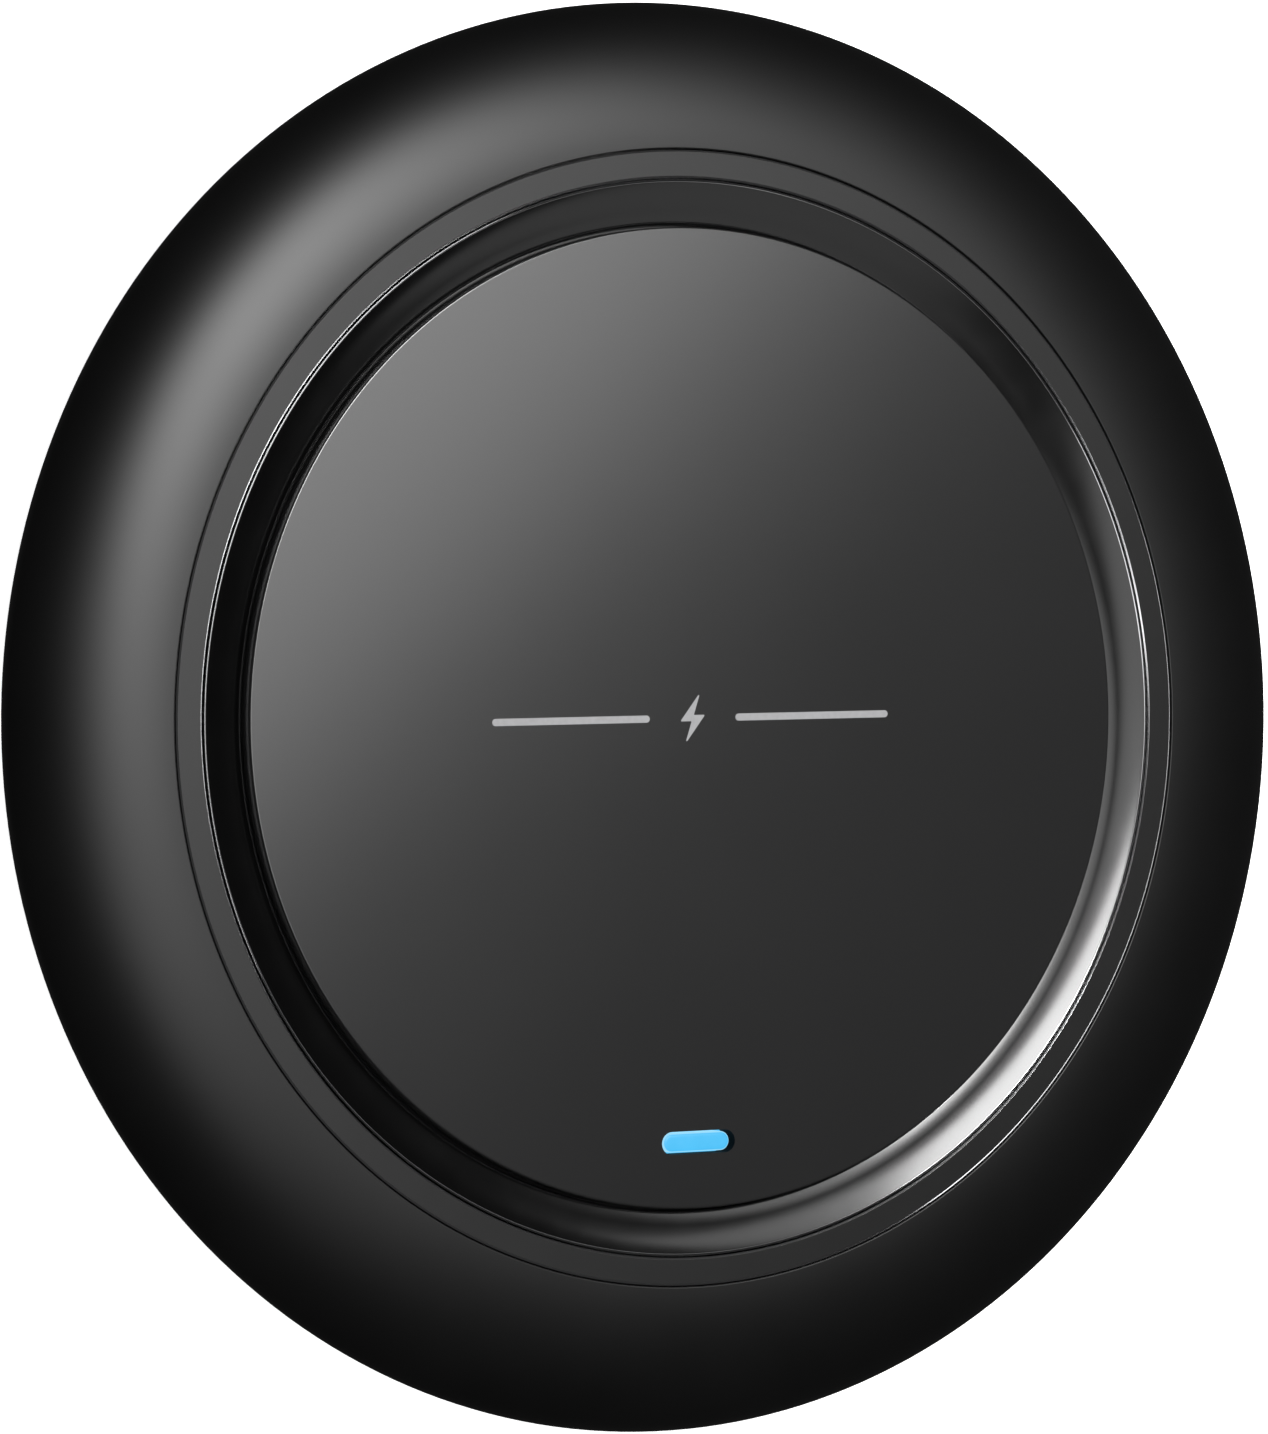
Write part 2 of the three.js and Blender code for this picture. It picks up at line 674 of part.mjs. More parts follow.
place("controller_ic", chip(CONTROLLER, [-10, 9]), "epoxy");
[10, 18].forEach((y, i) => place(`mosfet_${i + 1}`, chip(MOSFET, [16, y]), "epoxy"));
place("regulator", chip(REGULATOR, [-10, 20]), "epoxy");
for (let i = 0; i < 4; i++) {
  place(`resonant_capacitor_${i + 1}`, capacitor(RESONANT, [19, -3 - 4 * i]), "ceramic");
}
place("input_inductor", inductor(6, 2.3, [0, 26]), "ferrite");
[-4.5, 4.5].forEach((x, i) => {
  place(`input_capacitor_${i + 1}`, capacitor(INPUT_CAP, [x, 36]), "ceramic");
});

// ---- The USB socket ----

// The socket's outline in X and Z: square shoulders above, sloping in below.
function socketOutline(wide, high) {
  const x = wide / 2;
  const z = high / 2;
  return new THREE.Shape([
    new THREE.Vector2(x * 0.76, -z),
    new THREE.Vector2(x, -z * 0.1),
    new THREE.Vector2(x, z * 0.8),
    new THREE.Vector2(x * 0.94, z),
    new THREE.Vector2(-x * 0.94, z),
    new THREE.Vector2(-x, z * 0.8),
    new THREE.Vector2(-x, -z * 0.1),
    new THREE.Vector2(-x * 0.76, -z),
  ]);
}

const SOCKET_HOLLOW = { wide: SOCKET.wide - 2 * SOCKET.wall, high: SOCKET.high - 2 * SOCKET.wall };
const TONGUE = { wide: 4, thick: 0.6, rise: 0.05, tipY: SOCKET.mouthY - 0.6 };
const PLUG_STOP_Y = SOCKET_BACK_Y + 1.6; // the front of the tongue's block, where a plug ends
const TONGUE_Z = SOCKET_MID_Z + TONGUE.rise;

function usbShell() {
  const outline = socketOutline(SOCKET.wide, SOCKET.high);
  const hollow = socketOutline(SOCKET_HOLLOW.wide, SOCKET_HOLLOW.high);
  outline.holes.push(new THREE.Path(hollow.getPoints()));
  return alongY(outline, SOCKET_BACK_Y, SOCKET.mouthY, SOCKET_MID_Z);
}

function usbTongue() {
  const gap = 0.1;
  const root = socketOutline(SOCKET_HOLLOW.wide - gap, SOCKET_HOLLOW.high - gap);
  const reach = TONGUE.tipY - SOCKET_BACK_Y - gap;
  const midY = (TONGUE.tipY + SOCKET_BACK_Y + gap) / 2;
  return carve(alongY(root, SOCKET_BACK_Y + gap, PLUG_STOP_Y, SOCKET_MID_Z), {
    add: [block(TONGUE.wide, reach, TONGUE.thick, 0, midY, TONGUE_Z)],
  });
}

function usbContact(i) {
  const strip = { wide: 0.35, thick: 0.12, pitch: 0.65 };
  const fromY = PLUG_STOP_Y + 0.05;
  const long = TONGUE.tipY - 0.2 - fromY;
  const x = (i - 2) * strip.pitch;
  return block(strip.wide, long, strip.thick, x, fromY + long / 2, TONGUE_Z - strip.thick);
}

place("usb_shell", usbShell(), "tin");
place("usb_tongue", usbTongue(), "nylon");
for (let i = 0; i < 5; i++) place(`usb_contact_${i + 1}`, usbContact(i), "gold");

export default pad;
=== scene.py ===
"""The looks of a round wireless charging pad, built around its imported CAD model. Metres, +Z up."""

import math

import bmesh
import bpy
from mathutils import Matrix, Vector

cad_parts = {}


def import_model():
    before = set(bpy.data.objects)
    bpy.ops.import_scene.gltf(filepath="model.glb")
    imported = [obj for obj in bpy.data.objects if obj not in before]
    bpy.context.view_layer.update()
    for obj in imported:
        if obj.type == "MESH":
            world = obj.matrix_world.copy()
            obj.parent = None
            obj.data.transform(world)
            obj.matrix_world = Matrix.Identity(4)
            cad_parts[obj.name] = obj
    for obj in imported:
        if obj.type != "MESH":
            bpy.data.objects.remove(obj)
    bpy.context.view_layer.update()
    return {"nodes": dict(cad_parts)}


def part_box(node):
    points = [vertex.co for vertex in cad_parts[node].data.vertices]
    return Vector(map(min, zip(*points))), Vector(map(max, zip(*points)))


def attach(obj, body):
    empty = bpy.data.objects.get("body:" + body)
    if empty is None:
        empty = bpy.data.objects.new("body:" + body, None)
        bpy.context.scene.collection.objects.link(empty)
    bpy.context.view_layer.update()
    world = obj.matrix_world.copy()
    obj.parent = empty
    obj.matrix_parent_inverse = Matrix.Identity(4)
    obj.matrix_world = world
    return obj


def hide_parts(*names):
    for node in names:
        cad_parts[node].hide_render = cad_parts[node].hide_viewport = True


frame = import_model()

MM = 0.001

# ---- Measures, read from the frame ----

SHELL_LOW, SHELL_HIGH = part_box("top_shell")
BASE_RIM_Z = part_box("bottom_shell")[1].z
TRIM_LOW, TRIM_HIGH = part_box("trim_ring")
CHANNEL_LOW, CHANNEL_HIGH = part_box("channel_ring")
PLATE_LOW, PLATE_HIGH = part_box("charging_plate")
FOOT_LOW, FOOT_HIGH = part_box("foot_ring")
LABEL_LOW, LABEL_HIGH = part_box("rating_label")
PIPE_LOW, PIPE_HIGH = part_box("light_pipe")
SOCKET_LOW, SOCKET_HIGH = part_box("usb_shell")
BOLT_LOW, BOLT_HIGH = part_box("print_bolt")
LINE_LOW, LINE_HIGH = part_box("print_line_right")
CASE_SCREWS = [f"case_screw_{i + 1}" for i in range(4)]
BOARD_SCREWS = [f"board_screw_{i + 1}" for i in range(4)]
CASE_SCREW_LOW, CASE_SCREW_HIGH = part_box(CASE_SCREWS[0])
BOARD_SCREW_TIP_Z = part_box(BOARD_SCREWS[0])[1].z
BOARD_TOP_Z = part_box("circuit_board")[1].z

OUTER_R = SHELL_HIGH.x
DECK_Z = SHELL_HIGH.z
TRIM_R = TRIM_HIGH.x
CHANNEL_R = CHANNEL_HIGH.x
PLATE_R = PLATE_HIGH.x
FOOT_R = FOOT_HIGH.x
FOOT_INNER_R = FOOT_R - 5 * MM
BASE_Z = LABEL_LOW.z - 0.05 * MM

# ---- Measures that the frame doesn't hold ----

SHELL_LIP_R = TRIM_R + 0.3 * MM  # the CAD shell's inner edge at the deck
SHELL_SEAM_R = (TRIM_R + SHELL_LIP_R) / 2
SHELL_SEAM = 0.08 * MM  # how wide the seam is between the skins of the shell and the trim ring
CHANNEL_SEAM = 0.12 * MM  # and between those of the trim ring and the channel ring
CHANNEL_SEAT_R = CHANNEL_R + 0.11 * MM
TRIM_INNER_R = CHANNEL_R + 0.134 * MM
CHANNEL_MID_R = CHANNEL_R - 2.09 * MM  # where the channel's face is flattest
WAIST_Z = DECK_Z - 4.5 * MM  # the height of the shell's widest circle
BELLY_DROP = 5.3 * MM  # how far the belly's ellipse reaches below the waist
WALL = 1.6 * MM
CASE_BOSS_TOP = 3.5 * MM  # the height at which the two shells' screw posts meet
BOARD_TONGUE = 13 * MM  # the width of the board's tongue, which carries the socket
WINDOW_SLOT = (5.8 * MM, 1.6 * MM)  # length and width
WINDOW_STEM = (5.26 * MM, 1.34 * MM)
PROUD = 0.01 * MM  # how far the ink stands above the plate
EDGE = 0.12 * MM  # the rounding or chamfer of a moulded edge
SNUG = 0.1 * MM  # the clearance between pieces that fit close

TURNS = 240  # steps round each lathed piece
HOLD = 0.03 * MM  # how near to a rounded edge its flat has a ring of points
SMOOTH_ANGLE = math.radians(32)


# ---- Shapes ----

def arc(centre, a, b, start, end, steps):
    """Points along an ellipse of half-axes a and b, from one angle to another, in degrees."""
    points = []
    for i in range(steps + 1):
        angle = math.radians(start + (end - start) * i / steps)
        points.append((centre[0] + a * math.cos(angle), centre[1] + b * math.sin(angle)))
    return points


def fall(start, end_r, tilt_from, tilt_to, steps):
    """An arc in (radius, height) that falls inwards while its tilt, in degrees, eases or grows."""
    first = math.radians(tilt_from)
    bend = (start[0] - end_r) / (math.sin(first) - math.sin(math.radians(tilt_to)))
    points = []
    for i in range(steps + 1):
        tilt = math.radians(tilt_from + (tilt_to - tilt_from) * i / steps)
        along = bend * (math.sin(first) - math.sin(tilt))
        down = bend * (math.cos(tilt) - math.cos(first))
        points.append((start[0] - along, start[1] - down))
    return points


def angle_at(z, centre_z, b):
    """The angle, in degrees, at which an ellipse of half height b passes a height."""
    return math.degrees(math.asin((z - centre_z) / b))


def rounded(corners, steps=5, hold=0.0):
    """An outline whose corners, given as (x, y, radius), are rounded by an arc each.

    With hold, a point that far along each straight keeps the shading of the flats level.
    """
    points = []
    count = len(corners)
    for i, (x, y, radius) in enumerate(corners):
        here = Vector((x, y))
        before = Vector(corners[i - 1][:2]) - here
        after = Vector(corners[(i + 1) % count][:2]) - here
        if radius <= 0:
            points.append((x, y))
            continue
        half = before.angle(after) / 2
        reach = radius / math.tan(half)
        start = here + before.normalized() * reach
        end = here + after.normalized() * reach
        inwards = (before.normalized() + after.normalized()).normalized()
        centre = here + inwards * (radius / math.sin(half))
        sweep = (start - centre).angle_signed(end - centre)
        if hold:
            points.append(tuple(start + before.normalized() * hold))
        for k in range(steps + 1):
            turned = Matrix.Rotation(-sweep * k / steps, 2) @ (start - centre)
            points.append(tuple(centre + turned))
        if hold:
            points.append(tuple(end + after.normalized() * hold))
    return points


def shade(bm, smooth=True):
    """Shades the faces smooth or flat, and marks the edges that turn sharply."""
    for face in bm.faces:
        face.smooth = smooth
    for edge in bm.edges:
        edge.smooth = not edge.is_manifold or edge.calc_face_angle(0) < SMOOTH_ANGLE


def new_piece(name, bm, smooth=True):
    mesh = bpy.data.meshes.new(name)
    bmesh.ops.recalc_face_normals(bm, faces=bm.faces)
    shade(bm, smooth)
    bm.to_mesh(mesh)
    bm.free()
    obj = bpy.data.objects.new(name, mesh)
    bpy.context.scene.collection.objects.link(obj)
    return obj


def lathe(profile):
    """A closed solid of revolution about Z. A profile point on the axis becomes one vertex."""
    bm = bmesh.new()
    rings = []
    for radius, z in profile:
        if radius == 0:
            rings.append([bm.verts.new((0, 0, z))])
            continue
        ring = []
        for i in range(TURNS):
            angle = 2 * math.pi * i / TURNS
            ring.append(bm.verts.new((radius * math.cos(angle), radius * math.sin(angle), z)))
        rings.append(ring)
    closed = len(rings[0]) > 1
    last = len(rings) if closed else len(rings) - 1
    for k in range(last):
        low = rings[k]
        high = rings[(k + 1) % len(rings)]
        for i in range(TURNS):
            j = (i + 1) % TURNS
            face = [low[i % len(low)], low[j % len(low)], high[j % len(high)], high[i % len(high)]]
            face = list(dict.fromkeys(face))
            if len(face) > 2:
                bm.faces.new(face)
    return bm


def prism(outline, low, high, bm=None):
    """An outline in (x, y) raised from one height to another, in a mesh of its own or a given one."""
    bm = bm or bmesh.new()
    bottom = [bm.verts.new((x, y, low)) for x, y in outline]
    top = [bm.verts.new((x, y, high)) for x, y in outline]
    bm.faces.new(bottom)
    bm.faces.new(top)
    for i in range(len(outline)):
        j = (i + 1) % len(outline)
        bm.faces.new((bottom[i], bottom[j], top[j], top[i]))
    return bm


def stadium(long, wide, steps=12):
    """The outline of a bar along X with round ends."""
    r = wide / 2
    reach = long / 2 - r
    right = arc((reach, 0), r, r, -90, 90, steps)
    left = arc((-reach, 0), r, r, 90, 270, steps)
    return right + left


def posts(nodes, radius, low, high, sides=36):
    """A round post on the axis of each of some upright CAD nodes."""
    bm = bmesh.new()
    last = 360 - 360 / sides
    for node in nodes:
        middle = sum(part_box(node), Vector()) / 2
        circle = arc((0, 0), radius, radius, 0, last, sides - 1)
        prism([(middle.x + x, middle.y + y) for x, y in circle], low, high, bm)
    return bm


def loft(sections, hollow=False):
    """A closed solid through sections of equal count.

    Both ends are capped or, for a hollow one, the last section joins the first.
    """
    bm = bmesh.new()
    rows = [[bm.verts.new(point) for point in section] for section in sections]
    count = len(rows[0])
    pairs = list(zip(rows, rows[1:]))
    if hollow:
        pairs.append((rows[-1], rows[0]))
    for low, high in pairs:
        for i in range(count):
            j = (i + 1) % count
            bm.faces.new((low[i], low[j], high[j], high[i]))
    if not hollow:
        bm.faces.new(rows[0])
        bm.faces.new(rows[-1])
    return bm


def combine(obj, other_bm, operation):
    """Cuts a solid out of a piece, or joins it on, and shades the piece anew."""
    other = new_piece(obj.name + "_other", other_bm)
    modifier = obj.modifiers.new("combine", "BOOLEAN")
    modifier.operation = operation
    modifier.solver = "EXACT"
    modifier.object = other
    graph = bpy.context.evaluated_depsgraph_get()
    made = bpy.data.meshes.new_from_object(obj.evaluated_get(graph))
    obj.modifiers.clear()
    obj.data = made
    bpy.data.objects.remove(other)
    bm = bmesh.new()
    bm.from_mesh(made)
    shade(bm)
    bm.to_mesh(made)
    bm.free()


def cut(obj, other_bm):
    combine(obj, other_bm, "DIFFERENCE")


def join(obj, other_bm):
    combine(obj, other_bm, "UNION")


# ---- Materials ----

class Surface:
    """A procedural material: a Principled shader with helpers to add grain to it."""

    def __init__(self, name, color, roughness, metallic=0.0, specular=0.5):
        self.material = bpy.data.materials.new(name)
        self.material.use_nodes = True
        self.nodes = self.material.node_tree.nodes
        self.links = self.material.node_tree.links
        self.shader = self.nodes["Principled BSDF"]
        self.shader.inputs["Base Color"].default_value = (*color, 1)
        self.shader.inputs["Roughness"].default_value = roughness
        self.shader.inputs["Metallic"].default_value = metallic
        self.shader.inputs["Specular IOR Level"].default_value = specular
        self.coords = self.nodes.new("ShaderNodeTexCoord").outputs["Object"]

    def noise(self, per_mm, detail=3.0, stretch=None):
        """Noise of so many cells per millimetre, optionally stretched along an axis."""
        noise = self.nodes.new("ShaderNodeTexNoise")
        noise.inputs["Scale"].default_value = per_mm / MM
        noise.inputs["Detail"].default_value = detail
        source = self.coords
        if stretch:
            mapping = self.nodes.new("ShaderNodeMapping")
            mapping.inputs["Scale"].default_value = stretch
            self.links.new(self.coords, mapping.inputs["Vector"])
            source = mapping.outputs["Vector"]
        self.links.new(source, noise.inputs["Vector"])
        return noise.outputs["Fac"]

    def spread(self, value, low, high):
        """Noise, nearly all of which lies between 0.3 and 0.7, spread over a range."""
        ramp = self.nodes.new("ShaderNodeMapRange")
        ramp.inputs["From Min"].default_value = 0.3
        ramp.inputs["From Max"].default_value = 0.7
        ramp.inputs["To Min"].default_value = low
        ramp.inputs["To Max"].default_value = high
        self.links.new(value, ramp.inputs["Value"])
        return ramp.outputs["Result"]

    def rough(self, value, low, high):
        """Lets noise vary the roughness within a range."""
        self.links.new(self.spread(value, low, high), self.shader.inputs["Roughness"])
        return self

    def mixed(self, value, dark, light):
        """A colour that noise takes from one to another."""
        mix = self.nodes.new("ShaderNodeMix")
        mix.data_type = "RGBA"
        self.links.new(self.spread(value, 0, 1), mix.inputs["Factor"])
        mix.inputs["A"].default_value = (*dark, 1)
        mix.inputs["B"].default_value = (*light, 1)
        return mix.outputs["Result"]

    def tint(self, value, dark, light):
        """Lets noise vary the colour."""
        self.links.new(self.mixed(value, dark, light), self.shader.inputs["Base Color"])
        return self

    def blend(self, name, kind, value, amount):
        """Blends what already feeds one of the shader's sockets towards a value."""
        socket = self.shader.inputs[name]
        mix = self.nodes.new("ShaderNodeMix")
        mix.data_type = kind
        self.links.new(amount, mix.inputs["Factor"])
        self.links.new(socket.links[0].from_socket, mix.inputs["A"])
        mix.inputs["B"].default_value = value
        self.links.new(mix.outputs["Result"], socket)

    def tilted(self, low, high):
        """0 to 1 as the surface's tilt from the level goes from one angle to another, in degrees."""
        split = self.nodes.new("ShaderNodeSeparateXYZ")
        self.links.new(self.nodes["Texture Coordinate"].outputs["Normal"], split.inputs["Vector"])
        ramp = self.nodes.new("ShaderNodeMapRange")
        ramp.inputs["From Min"].default_value = math.cos(math.radians(low))
        ramp.inputs["From Max"].default_value = math.cos(math.radians(high))
        self.links.new(split.outputs["Z"], ramp.inputs["Value"])
        return ramp.outputs["Result"]

    def bare_edges(self, color, roughness, tilt, blur=1):
        """Bares polished metal where an edge turns more than a tilt, in degrees, from the level."""
        amount = self.tilted(tilt - blur, tilt + blur)
        self.links.new(amount, self.shader.inputs["Metallic"])
        self.blend("Base Color", "RGBA", (*color, 1), amount)
        self.blend("Roughness", "FLOAT", roughness, amount)
        return self

    def bump(self, value, height, strength=1.0):
        """Grain of a height in metres."""
        bump = self.nodes.new("ShaderNodeBump")
        bump.inputs["Distance"].default_value = height
        bump.inputs["Strength"].default_value = strength
        self.links.new(value, bump.inputs["Height"])
        self.links.new(bump.outputs["Normal"], self.shader.inputs["Normal"])
        return self


def grey(value):
    """A grey with the faintest cast of blue."""
    return (value, value, value * 1.02)


def soft_shell():
    surface = Surface("soft_touch", grey(0.0013), 0.38, specular=0.41)
    surface.rough(surface.noise(0.05), 0.37, 0.39)
    surface.tint(surface.noise(0.1), grey(0.0011), grey(0.0016))
    return surface.bump(surface.noise(6), 0.002 * MM, 0.2).material


def satin_trim():
    surface = Surface("satin_trim", grey(0.0006), 0.41, specular=0.42)
    surface.tint(surface.noise(0.3), grey(0.0005), grey(0.0008))
    surface.rough(surface.noise(0.2), 0.4, 0.42)
    surface.bare_edges(grey(0.6), 0.15, tilt=22)
    return surface.bump(surface.noise(7), 0.002 * MM, 0.2).material


def piano_black():
    surface = Surface("piano_black", grey(0.0005), 0.16, specular=0.48)
    surface.tint(surface.noise(0.3), grey(0.0004), grey(0.0006))
    surface.rough(surface.noise(0.4), 0.15, 0.17)
    surface.bare_edges(grey(0.4), 0.1, tilt=22)
    return surface.material


def satin_plate():
    surface = Surface("satin_plate", grey(0.0068), 0.208, specular=1.0)
    surface.rough(surface.noise(0.04), 0.203, 0.213)
    surface.tint(surface.noise(0.1), grey(0.0066), grey(0.007))
    return surface.bump(surface.noise(8), 0.001 * MM, 0.15).material


def ink():
    surface = Surface("ink", grey(0.2), 0.6)
    surface.tint(surface.noise(3), grey(0.19), grey(0.215))
    return surface.bump(surface.noise(9), 0.004 * MM, 0.4).material


def rubber():
    surface = Surface("rubber", grey(0.018), 0.8, specular=0.3)
    surface.rough(surface.noise(0.6), 0.74, 0.86)
    surface.tint(surface.noise(0.4), grey(0.014), grey(0.022))
    return surface.bump(surface.noise(3), 0.02 * MM, 0.5).material


def film():
    surface = Surface("label_film", grey(0.03), 0.5)
    surface.rough(surface.noise(0.5), 0.45, 0.55)
    surface.tint(surface.noise(1), grey(0.028), grey(0.034))
    return surface.bump(surface.noise(2), 0.004 * MM, 0.3).material


def plated(name, dark, light, low, high):
    """Bare metal of two tones, whose roughness runs in streaks along Y."""
    surface = Surface(name, light, low, metallic=1.0)
    surface.rough(surface.noise(2, stretch=(1, 0.15, 1)), low, high)
    surface.tint(surface.noise(1.2), dark, light)
    return surface.bump(surface.noise(5), 0.003 * MM, 0.3).material


def moulded(name, dark, light, roughness, grain=4.0, height=0.006 * MM, specular=0.5):
    """A solid of two tones, with a grain of so many cells per millimetre."""
    surface = Surface(name, light, roughness, specular=specular)
    surface.rough(surface.noise(0.7), roughness - 0.05, roughness + 0.05)
    surface.tint(surface.noise(0.8), dark, light)
    return surface.bump(surface.noise(grain), height, 0.5).material


def lit_window():
    """A window lit from behind: blue, and paler where its dome turns down."""
    surface = Surface("lit_window", (0.004, 0.02, 0.03), 0.35, specular=0.3)
    surface.rough(surface.noise(1.5), 0.3, 0.4)
    glow = surface.mixed(surface.noise(0.5), (0.068, 0.5, 0.88), (0.08, 0.53, 0.92))
    surface.links.new(glow, surface.shader.inputs["Emission Color"])
    surface.blend("Emission Color", "RGBA", (0.34, 0.72, 0.95, 1), surface.tilted(25, 40))
    surface.shader.inputs["Emission Strength"].default_value = 1.0
    return surface.material


def dress(obj, material):
    obj.data.materials.clear()
    obj.data.materials.append(material)


def finish_piece(obj, material, slot, *nodes):
    """Gives a piece its material and its body, and hides the CAD nodes it stands for. Its slot is not used.
    """
    dress(obj, material)
    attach(obj, "root")
    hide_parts(*nodes)
    return obj


# ---- The case ----

def belly(low, high, steps):
    """The shell's outside between two heights, at or below its waist."""
    centre = (SHELL_LIP_R, WAIST_Z)
    start = angle_at(low, WAIST_Z, BELLY_DROP)
    end = angle_at(high, WAIST_Z, BELLY_DROP)
    return arc(centre, OUTER_R - SHELL_LIP_R, BELLY_DROP, start, end, steps)


def socket_hole():
    """The notch for the socket: a rounded box along Y that flares where it meets the skin."""
    top = SOCKET_HIGH.z + 0.25 * MM
    high = 3.4 * MM
    wide = 8.6 * MM
    corner = 0.9 * MM
    flare = 0.1 * MM
    beyond = 1 * MM
    middle_z = top - high / 2
    reaches = (
        (SOCKET_LOW.y + beyond, 0),
        (OUTER_R - 1.2 * MM, 0),
        (OUTER_R - 0.9 * MM, 0.3 * flare),
        (OUTER_R - 0.6 * MM, flare),
        (OUTER_R + beyond, flare),
    )
    sections = []
    for y, grow in reaches:
        x = wide / 2 + grow
        z = high / 2 + grow
        r = corner + grow
        outline = rounded([(x, -z, r), (x, z, r), (-x, z, r), (-x, -z, r)], 6)
        sections.append([(px, y, middle_z + pz) for px, pz in outline])
    return loft(sections)


def top_shell(material):
    """The crest and the belly, with seats for the rings, posts for the screws and the socket's notch."""
    middle = (SHELL_LIP_R, WAIST_Z)
    outer_reach = OUTER_R - SHELL_LIP_R
    inner_reach = outer_reach - WALL
    crest_end = 88  # degrees above the waist, as seen from the middle
    inside_start = 74
    low = SHELL_LOW.z
    lip = 0.1 * MM
    lip_r = SHELL_SEAM_R + SHELL_SEAM / 2
    plate_seat_r = PLATE_R + SNUG
    shelf_r = SHELL_LIP_R - 7.85 * MM
    shelf_z = DECK_Z - 3.1 * MM
    clear = 0.3 * MM
    case_root_z = shelf_z + 1.4 * MM
    board_root_z = shelf_z + clear
    profile = belly(low + EDGE, WAIST_Z, 12)[:-1]
    profile += arc(middle, outer_reach, DECK_Z - WAIST_Z, 0, crest_end, 40)
    profile += [(lip_r + lip + HOLD, DECK_Z)]
    profile += arc((lip_r + lip, DECK_Z - lip), lip, lip, 90, 180, 6)
    profile += [
        (lip_r, TRIM_LOW.z),
        (CHANNEL_SEAT_R, TRIM_LOW.z),
        (CHANNEL_SEAT_R, CHANNEL_LOW.z),
        (plate_seat_r, CHANNEL_LOW.z),
        (plate_seat_r, PLATE_LOW.z),
        (shelf_r, PLATE_LOW.z),
        (shelf_r, shelf_z),
        (SHELL_LIP_R + WALL / 2, shelf_z),
    ]
    profile += arc(middle, inner_reach, DECK_Z - WAIST_Z - WALL, inside_start, 0, 10)
    profile += arc(middle, inner_reach, BELLY_DROP, 0, angle_at(low, WAIST_Z, BELLY_DROP), 6)[1:]
    bottom_r = belly(low, WAIST_Z, 1)[0][0]
    profile.append((bottom_r - EDGE, low))
    obj = new_piece("top_shell_skin", lathe(profile))
    case_boss_r = 2.8 * MM
    board_boss_r = 2.2 * MM
    pilot_r = 0.85 * MM
    join(obj, posts(CASE_SCREWS, case_boss_r, CASE_BOSS_TOP + SNUG, case_root_z))
    join(obj, posts(BOARD_SCREWS, board_boss_r, BOARD_TOP_Z, board_root_z))
    cut(obj, posts(CASE_SCREWS, pilot_r, low, CASE_SCREW_HIGH.z + clear))
    cut(obj, posts(BOARD_SCREWS, pilot_r, low, BOARD_SCREW_TIP_Z + clear))
    cut(obj, socket_hole())
    return finish_piece(obj, material, "soft_shell", "top_shell")


def bottom_shell(material):
    """A dish with a groove for the foot, a recess for the label and a rim that holds the shells in line."""
    gap = 0.2 * MM
    beyond = 1 * MM
    top = SHELL_LOW.z - gap
    groove_in = FOOT_INNER_R - SNUG
    groove_out = FOOT_R + SNUG
    label_r = LABEL_HIGH.x + SNUG
    floor_z = FOOT_HIGH.z + 0.6 * MM
    ledge_z = FOOT_HIGH.z + 1 * MM
    boss_root_z = BASE_Z + 0.9 * MM
    head_seat_z = CASE_SCREW_LOW.z + 1.25 * MM
    skin = belly(BASE_Z, top - EDGE, 12)
    rim_out = OUTER_R - 3.8 * MM
    rim_in = OUTER_R - 5 * MM
    profile = [
        (0, LABEL_HIGH.z),
        (label_r, LABEL_HIGH.z),
        (label_r, BASE_Z + EDGE),
        (label_r + EDGE, BASE_Z),
        (groove_in - EDGE, BASE_Z),
        (groove_in, BASE_Z + EDGE),
        (groove_in, FOOT_HIGH.z),
        (groove_out, FOOT_HIGH.z),
        (groove_out, BASE_Z + EDGE),
    ]
    profile += skin
    profile += [
        (skin[-1][0] - EDGE, top),
        (rim_out, top),
        (rim_out, BASE_RIM_Z),
        (rim_in, BASE_RIM_Z),
        (rim_in, ledge_z),
        (groove_in, ledge_z),
        (groove_in, floor_z),
        (0, floor_z),
    ]
    obj = new_piece("bottom_shell_skin", lathe(profile))
    boss_r = 3.2 * MM
    head_r = 2.1 * MM
    shank_r = 1.1 * MM
    join(obj, posts(CASE_SCREWS, boss_r, boss_root_z, CASE_BOSS_TOP))
    cut(obj, posts(CASE_SCREWS, head_r, BASE_Z, head_seat_z))
    cut(obj, posts(CASE_SCREWS, shank_r, BASE_Z, CASE_BOSS_TOP + beyond))
    x = BOARD_TONGUE / 2 + gap
    notch = [(-x, rim_in - beyond), (x, rim_in - beyond), (x, OUTER_R), (-x, OUTER_R)]
    cut(obj, prism(notch, ledge_z, BASE_RIM_Z + beyond))
    return finish_piece(obj, material, "soft_shell", "bottom_shell")


def trim_ring():
    """A flat satin ring with a fine polished chamfer along each of its two edges."""
    low = TRIM_LOW.z
    top = TRIM_HIGH.z
    wide = 0.13 * MM
    drop = 0.07 * MM
    soft = 0.02 * MM
    outer = SHELL_SEAM_R - SHELL_SEAM / 2
    profile = rounded(
        [
            (TRIM_INNER_R, low, 0),
            (outer, low, 0),
            (outer, top - drop, soft),
            (outer - wide, top, soft),
            (TRIM_INNER_R + wide, top, soft),
            (TRIM_INNER_R, top - drop, soft),
        ],
        steps=2,
        hold=soft,
    )
    obj = new_piece("trim_ring_skin", lathe(profile))
    return finish_piece(obj, satin_trim(), "trim", "trim_ring")


